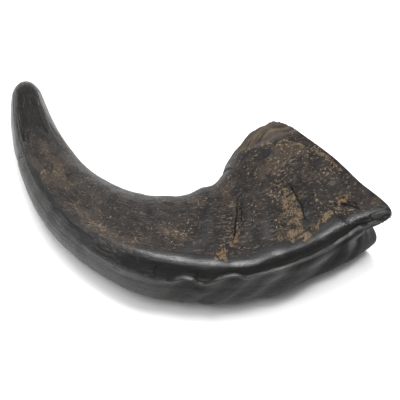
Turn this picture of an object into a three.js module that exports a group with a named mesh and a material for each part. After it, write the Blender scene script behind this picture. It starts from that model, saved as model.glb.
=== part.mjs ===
// Buffalo horn: one grown keratin sheath, sawn off square at the base and hollow from there
// to about half its length. It lies on its side with the bend flat on the ground.
// Millimetres, +Z up, origin at the bottom centre of its bounding box. +X is the way the
// sawn base faces.

import * as THREE from 'three';
import { ParametricGeometry } from 'three/addons/geometries/ParametricGeometry.js';
import { mergeVertices } from 'three/addons/utils/BufferGeometryUtils.js';

// ---- Driving dimensions -------------------------------------------------------------------

// Sections across the horn, evenly numbered from the sawn base to the tip. x and y place the
// section's centre on the ground plan, lift is the gap under its lowest point.
const SECTIONS = [
  { x: 64, y: -47, halfWidth: 53, height: 61, lift: 0 },
  { x: 36, y: -47, halfWidth: 51, height: 61, lift: 0 },
  { x: 8, y: -47, halfWidth: 43, height: 58, lift: 0 },
  { x: -20, y: -35, halfWidth: 38, height: 53, lift: 0 },
  { x: -43, y: -12, halfWidth: 34, height: 49, lift: 0 },
  { x: -56, y: 22, halfWidth: 29, height: 44, lift: 0 },
  { x: -58, y: 60, halfWidth: 24.6, height: 38, lift: 0 },
  { x: -50, y: 97, halfWidth: 19.6, height: 32, lift: 2 },
  { x: -34, y: 135, halfWidth: 15, height: 26, lift: 5 },
  { x: -11, y: 174, halfWidth: 9, height: 18, lift: 9 },
];
const TIP_DOME = 0.04; // share of the length that rounds off the blunt tip

// The section's character, each as values spread evenly from base to tip.
const LEAN = [11, 8, 2, 0]; // degrees that the section's top leans outward
const SQUARENESS_TOP_OUTER = [3.8, 2.6, 2.2, 2]; // superellipse exponents, 2 is an ellipse
const SQUARENESS_TOP_INNER = [2.3, 2.3, 2.2, 2];
const SQUARENESS_BOTTOM = [3.6, 2.6, 2.2, 2];

// The fibres of the horn's outer side climb as they leave the base, by degrees around the
// section. Their angle is 0 where a fibre leaves the base facing out of the bend, 90 facing up.
const CLIMB = [0, 18, 17, 17];
const CLIMBING_FIBRE = 20;

// Folds along the fibres: the fibre that each follows and its height in mm, as values spread
// evenly from base to tip, and its spread in degrees. A negative height is a groove.
const FOLDS = [
  {
    name: 'roll',
    fibre: [30, 24, 21, 17.5, 26, 25, 25, 25, 26, 26],
    spread: 9,
    height: [5, 2.6, 2, 1.6, 1.5, 1.1, 0.6, 0.2, 0, 0],
  },
  {
    name: 'groove',
    fibre: [3, 5, 8, 10, 10, 10, 10, 10, 10, 10],
    spread: 7,
    height: [-7, -1.5, -0.3, 0, 0, 0, 0, 0, 0, 0],
  },
  {
    name: 'lip',
    fibre: [16, 14, 9, 6, 5, 5, 5, 5, 5, 5],
    spread: 7,
    height: [0, 0.9, 1.3, 1.1, 0.5, 0.1, 0, 0, 0, 0],
  },
  {
    name: 'inner ridge',
    fibre: [150, 150, 150, 150, 150, 150, 150, 150, 150, 150],
    spread: 14,
    height: [2, 1.7, 1.3, 1, 0.7, 0.3, 0, 0, 0, 0],
  },
];

// Growth swellings that ring the horn: place and reach as shares of the length, height in mm.
const SWELLINGS = [
  { at: 0.14, reach: 0.03, height: 0.8 },
  { at: 0.25, reach: 0.035, height: 1.2 },
  { at: 0.35, reach: 0.03, height: 1 },
  { at: 0.47, reach: 0.03, height: 0.6 },
];

// Local rises: place and reach along the horn as shares of its length, fibre and spread in
// degrees, height in mm. A negative height is a dip.
const RISES = [
  { name: 'flared rim', at: 0, reach: 0.055, fibre: 76, spread: 34, height: 2 },
  { name: 'flared roll end', at: 0, reach: 0.05, fibre: 30, spread: 13, height: 5 },
  { name: 'shoulder', at: 0.07, reach: 0.045, fibre: 142, spread: 26, height: 4.5 },
  { name: 'neck', at: 0.147, reach: 0.045, fibre: 157, spread: 30, height: -1.4 },
  { name: 'inner swelling', at: 0.205, reach: 0.03, fibre: 150, spread: 24, height: 1.8 },
  { name: 'long flake scar', at: 0.17, reach: 0.04, fibre: 63, spread: 22, height: -1.2 },
  { name: 'small flake scar', at: 0.3, reach: 0.03, fibre: 46, spread: 12, height: -0.8 },
];

// The hollow that the bony core left.
const HOLLOW_DEPTH = 0.48; // share of the length
const HOLLOW_DOME = 0.14; // share of the length over which its end rounds off
const WALL = [7, 9, 12, 15]; // wall thickness in mm from the rim to the hollow's end
const HOLLOW_RELIEF = 0.7; // share of the outside's relief that shows inside

// Fineness of the surface.
const COLUMNS = 56;
const COLUMN_CROWDING = 0.5; // how much the columns crowd around the folds
const CROWDED_FIBRE = 15;
const OUTER_ROWS = 46;
const DOME_ROWS = 5;
const HOLLOW_ROWS = 14;
const SAME_POINT = 1e-3; // mm, corners nearer than this are one
const UNDERSIDE = { from: -160, to: -40, step: 3 }; // degrees, the fibres tried for the lowest

// ---- Curves along the horn ----------------------------------------------------------------

const curveThrough = (points) => new THREE.CatmullRomCurve3(points, false, 'catmullrom', 0.5);
const centreLine = curveThrough(SECTIONS.map(({ x, y }) => new THREE.Vector3(x, y, 0)));
const girth = curveThrough(
  SECTIONS.map(({ halfWidth, height, lift }) => new THREE.Vector3(halfWidth, height, lift)),
);

const profiles = new Map();

/** The value of an evenly spread list at a place along the horn. */
function along(list, place) {
  if (!profiles.has(list)) {
    profiles.set(list, curveThrough(list.map((value) => new THREE.Vector3(value, 0, 0))));
  }
  return profiles.get(list).getPoint(place).x;
}

// ---- The section --------------------------------------------------------------------------

const bell = (distance, spread) => Math.exp(-((distance / spread) ** 2));

/** Radius of the plain rounded section, with no fold, at an angle in radians. */
function plainRadius(angle, halfWidth, halfHeight, place) {
  const side = Math.cos(angle);
  const rise = Math.sin(angle);
  const top = side > 0 ? SQUARENESS_TOP_OUTER : SQUARENESS_TOP_INNER;
  const power = along(rise > 0 ? top : SQUARENESS_BOTTOM, place);
  const spokes = Math.abs(side / halfWidth) ** power + Math.abs(rise / halfHeight) ** power;
  return spokes ** (-1 / power);
}

/** Degrees from one angle to another, the short way round. */
function turnBetween(from, to) {
  return THREE.MathUtils.euclideanModulo(to - from + 180, 360) - 180;
}

/** Height above the plain section, on a fibre in degrees. */
function relief(fibre, place) {
  let height = 0;
  for (const fold of FOLDS) {
    const turn = turnBetween(along(fold.fibre, place), fibre);
    height += along(fold.height, place) * bell(turn, fold.spread);
  }
  for (const swelling of SWELLINGS) {
    height += swelling.height * bell(place - swelling.at, swelling.reach);
  }
  for (const rise of RISES) {
    const across = bell(turnBetween(rise.fibre, fibre), rise.spread);
    height += rise.height * bell(place - rise.at, rise.reach) * across;
  }
  return height;
}

/** The angle around the section, in radians, that a fibre has reached at a place. */
function fibreAngle(fibre, place) {
  const share = (1 + Math.cos(THREE.MathUtils.degToRad(fibre - CLIMBING_FIBRE))) / 2;
  return THREE.MathUtils.degToRad(fibre + along(CLIMB, place) * share);
}

function outerRadius(fibre, place) {
  const size = girth.getPoint(place);
  const plain = plainRadius(fibreAngle(fibre, place), size.x, size.y / 2, place);
  return plain + relief(fibre, place);
}

/** The angle as it stands once the section's top has leant outward over its underside. */
function leantAngle(fibre, place) {
  const angle = fibreAngle(fibre, place);
  const share = (1 + Math.sin(angle)) / 2;
  return angle - THREE.MathUtils.degToRad(along(LEAN, place)) * share;
}

const centreHeights = new Map();

/** Height of the section's centre that leaves the lift under the section's lowest point. */
function centreHeight(place) {
  if (!centreHeights.has(place)) {
    let depth = 0;
    for (let fibre = UNDERSIDE.from; fibre <= UNDERSIDE.to; fibre += UNDERSIDE.step) {
      const below = -outerRadius(fibre, place) * Math.sin(leantAngle(fibre, place));
      depth = Math.max(depth, below);
    }
    centreHeights.set(place, girth.getPoint(place).z + depth);
  }
  return centreHeights.get(place);
}

/** Puts target on a fibre at a place along the horn, at a radius from the section's centre. */
function placeOnSection(place, fibre, radius, target) {
  const centre = centreLine.getPoint(place);
  const heading = centreLine.getTangent(place);
  const leant = leantAngle(fibre, place);
  const outward = radius * Math.cos(leant);
  target.set(
    centre.x - heading.y * outward,
    centre.y + heading.x * outward,
    centreHeight(place) + radius * Math.sin(leant),
  );
}

/** How far a rounded end has opened at a distance from its pole, from 0 to 1. */
function domeOpening(distance, reach) {
  const missing = Math.max(0, 1 - distance / reach);
  return Math.sqrt(Math.max(0, 1 - missing ** 2));
}

function outerPoint(place, fibre, target) {
  const opening = domeOpening(1 - place, TIP_DOME);
  placeOnSection(place, fibre, outerRadius(fibre, place) * opening, target);
}

function hollowPoint(place, fibre, target) {
  const size = girth.getPoint(place);
  const wall = along(WALL, place / HOLLOW_DEPTH);
  const plain = plainRadius(fibreAngle(fibre, place), size.x - wall, size.y / 2 - wall, place);
  const radius = plain + HOLLOW_RELIEF * relief(fibre, place);
  const opening = domeOpening(HOLLOW_DEPTH - place, HOLLOW_DOME);
  placeOnSection(place, fibre, radius * opening, target);
}

// ---- The closed skin ----------------------------------------------------------------------

const ROWS = HOLLOW_ROWS + 1 + OUTER_ROWS + DOME_ROWS;

/** The fibre that a column follows, in degrees, crowded around the folds. */
function columnFibre(share) {
  const even = share * 2 * Math.PI;
  const crowded = even - COLUMN_CROWDING * Math.sin(even);
  return THREE.MathUtils.radToDeg(crowded) + CROWDED_FIBRE;
}

/** One skin: out of the hollow's end, over the flat rim, and along the outside to the tip. */
function skinPoint(columnShare, rowShare, target) {
  const fibre = columnFibre(columnShare);
  const row = Math.round(rowShare * ROWS);
  const outerRow = row - HOLLOW_ROWS - 1;
  if (outerRow < 0) {
    const quarterTurn = ((row / HOLLOW_ROWS) * Math.PI) / 2;
    hollowPoint(HOLLOW_DEPTH * Math.cos(quarterTurn), fibre, target);
  } else if (outerRow <= OUTER_ROWS) {
    outerPoint(((1 - TIP_DOME) * outerRow) / OUTER_ROWS, fibre, target);
  } else {
    const quarterTurn = (((outerRow - OUTER_ROWS) / DOME_ROWS) * Math.PI) / 2;
    outerPoint(1 - TIP_DOME + TIP_DOME * Math.sin(quarterTurn), fibre, target);
  }
}

/** Merges the seam and the poles, and drops the triangles that a pole folds to a line. */
function closeSkin(openSkin) {
  openSkin.deleteAttribute('normal');
  openSkin.deleteAttribute('uv');
  const closed = mergeVertices(openSkin, SAME_POINT);
  const kept = [];
  const corners = closed.index.array;
  for (let corner = 0; corner < corners.length; corner += 3) {
    const [a, b, c] = corners.slice(corner, corner + 3);
    if (a !== b && b !== c && c !== a) kept.push(a, b, c);
  }
  closed.setIndex(kept);
  return closed;
}

function makeHorn() {
  const geometry = closeSkin(new ParametricGeometry(skinPoint, COLUMNS, ROWS));
  geometry.computeBoundingBox();
  const { min, max } = geometry.boundingBox;
  geometry.translate(-(min.x + max.x) / 2, -(min.y + max.y) / 2, -min.z);
  geometry.computeVertexNormals();
  const material = new THREE.MeshStandardMaterial({
    color: 0x4a4643,
    roughness: 0.5,
    metalness: 0,
  });
  const horn = new THREE.Mesh(geometry, material);
  horn.name = 'horn';
  return horn;
}

const buffaloHorn = new THREE.Group();
buffaloHorn.add(makeHorn());

export default buffaloHorn;
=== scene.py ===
"""Looks of a water buffalo horn that lies on its side on a pale table.

The horn is one skin: out of the hollow that the bony core left, over the sawn rim, along the
outside and round the tip. Its shape is worked out in millimetres from the same sections and
folds as the solid that it replaces, then the fine relief of the keratin is laid on top.
"""

import math

import bmesh
import bpy
import numpy as np
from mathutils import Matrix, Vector, noise


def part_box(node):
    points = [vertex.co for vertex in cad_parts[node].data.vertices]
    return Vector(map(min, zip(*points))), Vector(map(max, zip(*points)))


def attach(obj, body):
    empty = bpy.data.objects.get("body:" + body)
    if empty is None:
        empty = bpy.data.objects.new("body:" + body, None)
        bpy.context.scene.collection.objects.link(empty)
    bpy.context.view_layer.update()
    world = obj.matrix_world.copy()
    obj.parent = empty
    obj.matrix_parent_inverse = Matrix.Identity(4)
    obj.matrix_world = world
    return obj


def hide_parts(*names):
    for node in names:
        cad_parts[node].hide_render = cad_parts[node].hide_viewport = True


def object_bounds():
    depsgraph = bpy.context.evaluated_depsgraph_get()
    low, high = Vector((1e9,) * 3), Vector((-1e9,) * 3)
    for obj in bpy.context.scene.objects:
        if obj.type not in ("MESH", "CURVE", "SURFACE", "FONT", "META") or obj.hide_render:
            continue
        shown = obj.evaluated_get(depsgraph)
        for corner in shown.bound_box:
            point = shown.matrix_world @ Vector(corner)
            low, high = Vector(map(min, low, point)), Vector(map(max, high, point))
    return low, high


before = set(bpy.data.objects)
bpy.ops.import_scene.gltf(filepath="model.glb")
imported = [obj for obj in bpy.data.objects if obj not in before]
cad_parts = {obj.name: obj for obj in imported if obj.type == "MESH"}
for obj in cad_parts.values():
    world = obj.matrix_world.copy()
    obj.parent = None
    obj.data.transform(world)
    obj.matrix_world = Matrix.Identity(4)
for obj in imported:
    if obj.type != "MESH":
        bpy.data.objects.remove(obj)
cad_low, cad_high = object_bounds()

MM = 0.001

# ---- Shape shared with the solid ----------------------------------------------------------

# Sections, evenly numbered from the sawn base to the tip: centre on the ground plan, half
# width, height, and the gap under the lowest point, all in mm.
SECTION_X = (64, 36, 8, -20, -43, -56, -58, -50, -34, -11)
SECTION_Y = (-47, -47, -47, -35, -12, 22, 60, 97, 135, 174)
HALF_WIDTH = (53, 51, 43, 38, 34, 29, 24.6, 19.6, 15, 9)
HEIGHT = (61, 61, 58, 53, 49, 44, 38, 32, 26, 18)
LIFT = (0, 0, 0, 0, 0, 0, 0, 2, 5, 9)
SPANS = len(SECTION_X) - 1
TIP_DOME = 0.04

# The section's character, each as values spread evenly from base to tip.
LEAN = (11, 8, 2, 0)  # degrees that the section's top leans outward
SQUARENESS_TOP_OUTER = (3.8, 2.6, 2.2, 2)  # superellipse exponents, 2 is an ellipse
SQUARENESS_TOP_INNER = (2.3, 2.3, 2.2, 2)
SQUARENESS_BOTTOM = (3.6, 2.6, 2.2, 2)

# Degrees that the fibres of the outer side climb as they leave the base. A fibre's angle is
# 0 where it leaves the base facing out of the bend, 90 where it faces up.
CLIMB = (0, 18, 17, 17)
CLIMBING_FIBRE = 20

# Folds along the fibres: fibre and height in mm at each section, spread in degrees.
FOLDS = (
    {
        "name": "roll",
        "fibre": (30, 24, 21, 17.5, 26, 25, 25, 25, 26, 26),
        "spread": 9,
        "height": (5, 2.6, 2, 1.6, 1.5, 1.1, 0.6, 0.2, 0, 0),
    },
    {
        "name": "groove",
        "fibre": (3, 5, 8, 10, 10, 10, 10, 10, 10, 10),
        "spread": 7,
        "height": (-7, -1.5, -0.3, 0, 0, 0, 0, 0, 0, 0),
    },
    {
        "name": "lip",
        "fibre": (16, 14, 9, 6, 5, 5, 5, 5, 5, 5),
        "spread": 7,
        "height": (0, 0.9, 1.3, 1.1, 0.5, 0.1, 0, 0, 0, 0),
    },
    {
        "name": "inner ridge",
        "fibre": (150,) * 10,
        "spread": 14,
        "height": (2, 1.7, 1.3, 1, 0.7, 0.3, 0, 0, 0, 0),
    },
)
# Growth swellings that ring the horn: place, reach and height in mm.
SWELLINGS = ((0.14, 0.03, 0.8), (0.25, 0.035, 1.2), (0.35, 0.03, 1), (0.47, 0.03, 0.6))
# Local rises and dips: place, reach, fibre, spread and height in mm.
RISES = (
    (0, 0.055, 76, 34, 2),  # flared rim
    (0, 0.05, 30, 13, 5),  # flared roll end
    (0.07, 0.045, 142, 26, 4.5),  # shoulder
    (0.147, 0.045, 157, 30, -1.4),  # neck
    (0.205, 0.03, 150, 24, 1.8),  # inner swelling
    (0.17, 0.04, 63, 22, -1.2),  # long flake scar
    (0.3, 0.03, 46, 12, -0.8),  # small flake scar
)

HOLLOW_DEPTH = 0.48
HOLLOW_DOME = 0.14
WALL = (7, 9, 12, 15)
HOLLOW_RELIEF = 0.7
UNDERSIDE_FIBRES = range(-160, -37, 3)
ARC_SAMPLES = 1001

# ---- Fineness of the skin -----------------------------------------------------------------

COLUMNS = 300
COLUMN_CROWDING = 0.5
CROWDED_FIBRE = 15
HOLLOW_ROWS = 34
OUTER_ROWS = 272
ROW_CROWDING = 0.45  # how much closer the rows stand at the base than on average
DOME_ROWS = 12
# From the hollow's mouth to the outside: share of the wall, and mm set back from the cut.
RIM_PROFILE = (
    (0, 0.7), (0.07, 0.1), (0.14, 0), (0.4, 0), (0.66, 0), (0.9, 0), (0.95, 0.1), (1, 0.6),
)

# ---- Where the finer features lie, and their forms ----------------------------------------

# Places are stations, one for each span between sections, with fibres in degrees.
STATION_MM = 32
FIBRE_MM = 0.72  # mm around the horn for a degree of fibre, at the base
FIBRE_TAPER = 0.08  # share that this loses at each station
GRAIN_RADIUS = 34  # mm, the even radius on which the grain is laid out

# The rounded top of the roll, and the worn edge that stands along the groove.
ROLL_CREST = (
    (0, 30), (0.5, 29.6), (0.9, 27), (1.3, 24.5), (1.6, 23.2), (2.4, 23), (2.6, 19.5),
    (2.9, 20), (3.1, 22.5), (3.6, 28), (4.1, 30), (4.5, 28.5),
)
LIP_EDGE = (
    (0, 24), (0.11, 22.9), (0.24, 21), (0.41, 20.2), (0.55, 19.6), (0.72, 20), (0.91, 18.6),
    (1.21, 15), (1.41, 13.2), (1.56, 12), (1.76, 11.6), (2, 11.4), (2.27, 10.2), (2.59, 9),
    (2.76, 7.7), (2.85, 10.6), (2.96, 10.8), (3.12, 8), (3.28, 2.7), (3.38, 3.3),
    (3.48, 7.5), (3.57, 8.3), (3.74, 2.7),
)
# The glossy flank that carries on from the roll toward the tip.
FLANK = ((0, 8), (4.4, 9), (5, 12.5), (6, 20), (7.3, 24))

# Cracks: line, half width and depth in mm, and mm that its tip side stands up.
CRACKS = (
    (((2.4, 114), (2.52, 98), (2.58, 86), (2.7, 66), (2.74, 55), (2.85, 40)), 0.45, 1.1, -0.35),
    (((2.5, 100), (2.48, 88), (2.56, 74), (2.52, 64)), 0.25, 0.5, 0.2),
    (((1.36, 96), (1.3, 84), (1.38, 68), (1.44, 56), (1.6, 44), (1.62, 36)), 0.7, 1.5, 0.9),
    (((1.7, 131), (1.61, 125)), 0.6, 1.5, 0),
    (((3.93, 19), (3.97, 12), (3.94, 2)), 0.25, 0.5, 0),
    (((3.38, 17), (3.42, 11), (3.4, 4)), 0.25, 0.5, 0),
    (((4.47, 9), (4.5, 5), (4.49, 1)), 0.25, 0.4, 0),
    (((7.42, -30), (7.3, -8), (7.26, 6), (7.17, 22)), 0.35, 0.6, 0.2),
    (((6.22, 80), (6.27, 90), (6.25, 102)), 0.3, 0.4, 0),
)
# Patches as lines with their half width in mm at both ends.
FLAKED = (  # the outer layer is gone
    (((1.36, 94), (1.5, 76), (1.68, 57), (1.84, 38)), 3.5, 9.5),
    (((2.66, 62), (2.76, 46), (2.98, 34)), 2, 5),
    (((1.9, 30), (1.36, 34), (0.8, 40), (0.42, 43)), 1.6, 2.4),
    (((0.16, 70), (0.1, 90), (0.2, 112), (0.5, 130)), 1.5, 3),
)
RUSTY = (  # flakes stained orange
    (((3.12, 28), (3.02, 31)), 2.5, 2.5),
    (((2.84, 38), (2.78, 45), (2.7, 60)), 2, 1.5),
    (((0.75, 41), (0.55, 43)), 2, 2),
)
RUBBED = (  # smooth and black
    (((8.9, 95), (8.3, 92), (7.8, 88), (7.4, 88)), 10, 12),
    (((4.5, 118), (4.25, 88)), 6, 6),
    (((3.05, 146), (3.08, 110), (3.22, 58)), 6, 8),
    (((3.25, 62), (3.4, 46), (3.5, 36)), 7, 9),
    (((2.3, 120), (2.36, 90), (2.55, 48)), 5, 5),
    (((1.92, 100), (2.05, 75), (2.3, 40)), 6, 6),
    (((1.4, 74), (1.5, 52), (1.64, 36)), 4, 5),
    (((1.3, 152), (1.12, 136), (0.95, 124)), 5, 5),
    (((0.9, 62), (0.4, 56)), 6, 6),
)
WORN = (  # dry and brown
    (((7.1, 84), (6.6, 76), (6, 70)), 9, 9),
    (((7, 36), (6.4, 48)), 5, 5),
    (((5.6, 46), (4.9, 38), (4.4, 30)), 5, 6),
    (((4, 70), (3.6, 56)), 5, 6),
    (((2.85, 66), (2.75, 44)), 6, 6),
    (((1.5, 118), (0.9, 120), (0.4, 112)), 7, 9),
    (((0.7, 82), (0.4, 64)), 5, 6),
    (((0, 36), (0.16, 35)), 2.5, 2.5),
)
BURNISHED = (  # rubbed to a shine on the roll
    (((2.85, 20), (2.6, 19), (2.25, 23)), 3, 3),
    (((1.65, 23), (1.3, 24.3), (1, 26.3), (0.7, 28)), 2.4, 2),
    (((0.65, 28.6), (0.15, 29)), 1.2, 1.2),
    (((4.9, 30.5), (4.2, 29.5), (3.6, 27.5), (3.15, 23)), 0.6, 2.4),
)
SCRATCHED = (  # scored across the horn
    (((5.6, 44), (4.5, 27)), 9, 9),
)
# Each kind of patch, with how ragged its edge is, coarsely and finely, and how soft, all as
# shares of its half width.
PATCHES = {
    "flaked": (FLAKED, 0.4, 0.65, 0.9),
    "rusty": (RUSTY, 0, 0.3, 0.8),
    "rubbed": (RUBBED, 0.2, 0, 1.3),
    "worn": (WORN, 0.3, 0.3, 0.9),
    "burnished": (BURNISHED, 0.2, 0, 1),
    "scratched": (SCRATCHED, 0.2, 0, 0.7),
}
# Pits: station, fibre and radius in mm.
PITS = (
    (0.72, 38.8, 1.2), (0.67, 38.2, 1.1), (0.61, 36.3, 1), (0.55, 33.8, 1), (0.83, 41, 0.8),
    (0.5, 37, 0.8), (0.58, 39, 0.7),
)
# Local forms: line, half width and height in mm, and how far inside the edge, as shares of
# the half width, the height starts and is full.
LOCAL_FORMS = (
    (((1.3, 78), (1.42, 58), (1.58, 40)), 3.4, -1.2, (0, 0.9)),  # recess beside the bulge
    (((1.04, 90), (1.16, 72)), 4.5, 0.8, (0, 0.9)),  # glossy bulge
    (((-0.1, 23.5), (0.1, 22.4), (0.24, 20.8)), 3.6, 1, (0, 1)),  # lip of the roll's end
    (((0.1, 26.6), (0.2, 26.6), (0.4, 25.6)), 2.2, -1.5, (-0.2, 0.8)),  # gutter in that end
)
# Flutes of the band under the groove: station at fibre 0, half width and depth in mm.
FLUTES = ((3.5, 9, 1.4), (3, 6, 1.7), (2.6, 5, 1), (2.12, 6.5, 1.7), (1.3, 9, 1.9), (0.6, 6, 1))
FLUTE_SLANT = math.radians(38)  # between a flute and the line around the horn
FLUTE_SPREAD = 0.7  # of its half width
FLUTES_END = (3.7, 4)

# Edge of the torn fibres on the inner side, from the base, and how far they fray beyond it.
TORN_EDGE = ((0, 136), (0.3, 136), (0.76, 137), (1.04, 143.5), (1.2, 156))
FRAYING_STARTS = (0, 4)  # degrees past that edge
FRAYING_ENDS = (80, 100)
FRAYING_STOPS = (1.15, 1.35)  # stations
FRAYING_WANDERS = 8  # degrees
FRAYING_STOP_WANDERS = 0.1  # stations
TORN_RIM_TURN = -1  # degrees past the edge where the torn rim stands highest
TORN_RIM_SPREAD = 2
TORN_RIM_STOPS = (1.1, 1.3)

# Where the skin is smooth. The turns are degrees from the crest, or from the flank's middle:
# start, end and softness. The pairs are stations between which something changes.
ROLL_TURNS = (-16, 11, 6)
ROLL_LESS_AT_BASE = 8
ROLL_WIDENS = (0.4, 1.3)
ROLL_FADES = (3.6, 5)
CREST_TURNS = (-16, 4.5, 4)
FLANK_TURNS = (-16, 17, 10)
FLANK_DULLS = (4.5, 6)
FLANK_DULLNESS = 0.3
FLANK_FADES = (6.3, 8)
TIP_STARTS = (7.1, 7.6)
SATIN_STARTS = (3.1, 4.8)
SATIN_SIDE = 60  # the satin comes nearer the base on the inner side of this fibre
SMOOTH_WANDERS = 0.2  # stations that the edges of tip and satin wander
QUARTER = 90
# The dry upper side, in degrees from the top, and the shares that smoother skin takes off.
TOP_FIBRE = 90
UPPER_TURNS = (-68, 75, 14)
DRY_LESS_POLISH = 0.9
DRY_LESS_TIP = 0.7
DRY_LESS_RUBBED = 0.8

# The bead along the roll's crest: degrees from the crest, spread in degrees and height in mm,
# with a shallow dip above it, and its start, end and softness in stations.
BEAD = (-0.5, 2.8, 0.5)
BEAD_LOSES = 0.3
BEAD_SHRINKS = (2.4, 3.2)
BEAD_DIP = (9, 5, 0.35)
BEAD_LUMPS_SPREAD = 8
BEAD_STATIONS = (0.4, 4.9, 0.6)

# The thin lip: mm over which it rounds off above and below its edge, its height in mm, and
# the stations where it ends and where it clears the saw cut's rim.
LIP_ROUND_ABOVE = 0.6
LIP_ROUND_BELOW = 1.1
LIP_HEIGHT = 0.9
LIP_ENDS = (3.55, 3.9)
LIP_CLEARS_RIM = (0.03, 0.4)
# What follows the lip: mm above its edge, spread in mm, strength, and how much of this it
# loses between two stations.
LIP_CREASE = (1.7, 1, 1.8, 1.3, (0.8, 2.6))
LIP_UNDERCUT = (-3.4, 2.6, 2, 1.3, (0.8, 2.4))
# The next row paints shade: it blackens the skin in the hollow under the lip's undercut.
LIP_SHADE = (-2.8, 2.2, 1, 0.6, (1.2, 2.6))
# The next row is the lip's shine: coat gloss, and a painted highlight in pale colour.
LIP_SHINE = (0.2, 0.35, 1, 0, (0, 1))
BELOW_LIP = (-2, 0)  # mm above the edge
LOWER_FIBRE = -60  # where the band below the lip fades, over a few degrees
LOWER_FADE = (0, 20)
SHADED_ENDS = (1.4, 2.6)
# The trough between lip and crest, painted dark as shade, by shares of the way up and by
# stations.
TROUGH_RISES = (0.12, 0.4)
TROUGH_FALLS = (0.62, 0.92)
TROUGH_STARTS = (0.3, 0.8)
TROUGH_ENDS = (3.9, 4.9)
TROUGH_SHARE = 0.7

# Pleats that fan out from the notch under the roll's end, in mm.
NOTCH = (0.3, 16)
PLEATS = 13
PLEAT_HEIGHT = 0.2
PLEAT_CENTRE = 4  # mm from the notch toward the base
PLEAT_REACH = (1, 18, 5)

# Cracks: the share of the length over which one tapers, mm that its line and its relief run
# on past the ends, and in mm its spread and how its edges stand up.
CRACK_TAPER = 0.3
CRACK_LINE_PAST = 0.5
CRACK_RELIEF_PAST = 1
CRACK_SPREAD = 0.9
CRACK_LIFT_REACH = 5
CRACK_LIFT_STARTS = (0, 0.6)
CRACK_FAR_SIDE = -0.6  # share of the lift, on the side toward the base

# Layers of lumps: height and size in mm, how far drawn out along the fibres, and seed.
LUMP_STRENGTH = 1.7  # brings the noise to about -1 to 1
SEED_STEP = 7.3  # how far apart in the noise two seeds lie
DRY_LUMPS = (  # with the share of the height that is kept where the skin isn't dry
    ((0.4, 24, 1.4, 0), 0.35),
    ((0.2, 9, 1.6, 1), 0.25),
    ((0.09, 3.5, 2, 2), 0.2),
)
FIBRE_LINES = (0.1, 2.4, 14, 3)
LINES_LESS_POLISH = 0.7
FRAYED_RIDGES = (0.45, 3.2, 7, 4)
FRAYED_LUMPS = (0.4, 2, 3, 5)
GROWTH_RINGS = (0.35, 42, 0.2, 6)
RINGS_FADE = (5, 7)
RINGS_LOSE = 0.6
RINGS_FIBRE = 150
RINGS_STOP = (20, -30)  # degrees from that fibre
BEAD_LUMPS = (0.3, 14, 1.6, 8)
RAGGED_EDGE = (1, 9, 1, 11)
FINE_RAGGED_EDGE = (1, 3, 1, 12)
LIP_LUMPS = (0.35, 9, 1, 13)
HOLLOW_LUMPS = ((0.7, 5, 9, 21), (0.5, 12, 1.5, 22))
# Height in mm where one of the masks is full.
MASK_HEIGHTS = {"torn_edge": 0.5, "rubbed": -0.4, "pitted": -1.2, "flaked": -0.4, "worn": -0.12}

# The masks that the finish reads. It also reads where the skin is sawn or hollow.
SURFACE_MASKS = (
    "dry", "polish", "fibrous", "flaked", "rusty", "worn", "rubbed", "scratched", "tip",
    "flute", "below_lip", "lip_line", "torn_edge", "burnished", "gloss", "satin",
    "pitted", "crevice_shade", "shaded",
)
HATCH_STRETCH = 0.1  # draws the hatching out along the flutes


def along(values, place):
    """The value of an evenly spread list at places along the horn, on one smooth curve."""
    knots = np.array(values, float)
    before_first = 2 * knots[0] - knots[1]
    after_last = 2 * knots[-1] - knots[-2]
    knots = np.concatenate([[before_first], knots, [after_last]])
    spans = len(values) - 1
    spot = np.clip(place, 0, 1) * spans
    first = np.minimum(spot.astype(int), spans - 1)
    part = spot - first
    a, b, c, d = (knots[first + step] for step in range(4))
    slope = (c - a) * part
    bend = (2 * a - 5 * b + 4 * c - d) * part**2
    twist = (3 * b - a - 3 * c + d) * part**3
    return 0.5 * (2 * b + slope + bend + twist)


def bell(distance, spread):
    return np.exp(-((distance / spread) ** 2))


def smooth(value, start, end):
    """0 before start, 1 after end, and a soft step between."""
    part = np.clip((value - start) / (end - start), 0, 1)
    return part * part * (3 - 2 * part)


def window(value, start, end, soft):
    """1 between start and end, 0 outside, with soft edges."""
    return smooth(value, start, start + soft) * (1 - smooth(value, end - soft, end))


def turn_between(start, end):
    """Degrees from one fibre to another, the short way round."""
    return (end - start + 180) % 360 - 180


def plain_radius(angle, half_width, half_height, place):
    side = np.cos(angle)
    rise = np.sin(angle)
    top_outer = along(SQUARENESS_TOP_OUTER, place)
    top_inner = along(SQUARENESS_TOP_INNER, place)
    top = np.where(side > 0, top_outer, top_inner)
    power = np.where(rise > 0, top, along(SQUARENESS_BOTTOM, place))
    spokes = np.abs(side / half_width) ** power + np.abs(rise / half_height) ** power
    return spokes ** (-1 / power)


def relief(fibre, place):
    """Height of the folds, swellings and rises above the plain section."""
    height = np.zeros_like(place)
    for fold in FOLDS:
        turn = turn_between(along(fold["fibre"], place), fibre)
        height = height + along(fold["height"], place) * bell(turn, fold["spread"])
    for at, reach, rise in SWELLINGS:
        height = height + rise * bell(place - at, reach)
    for at, reach, rise_fibre, spread, rise in RISES:
        across = bell(turn_between(rise_fibre, fibre), spread)
        height = height + rise * bell(place - at, reach) * across
    return height


def fibre_angle(fibre, place):
    share = (1 + np.cos(np.radians(fibre - CLIMBING_FIBRE))) / 2
    return np.radians(fibre + along(CLIMB, place) * share)


def leant_angle(fibre, place):
    angle = fibre_angle(fibre, place)
    return angle - np.radians(along(LEAN, place)) * (1 + np.sin(angle)) / 2


def outer_radius(fibre, place):
    angle = fibre_angle(fibre, place)
    plain = plain_radius(angle, along(HALF_WIDTH, place), along(HEIGHT, place) / 2, place)
    return plain + relief(fibre, place)


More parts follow.
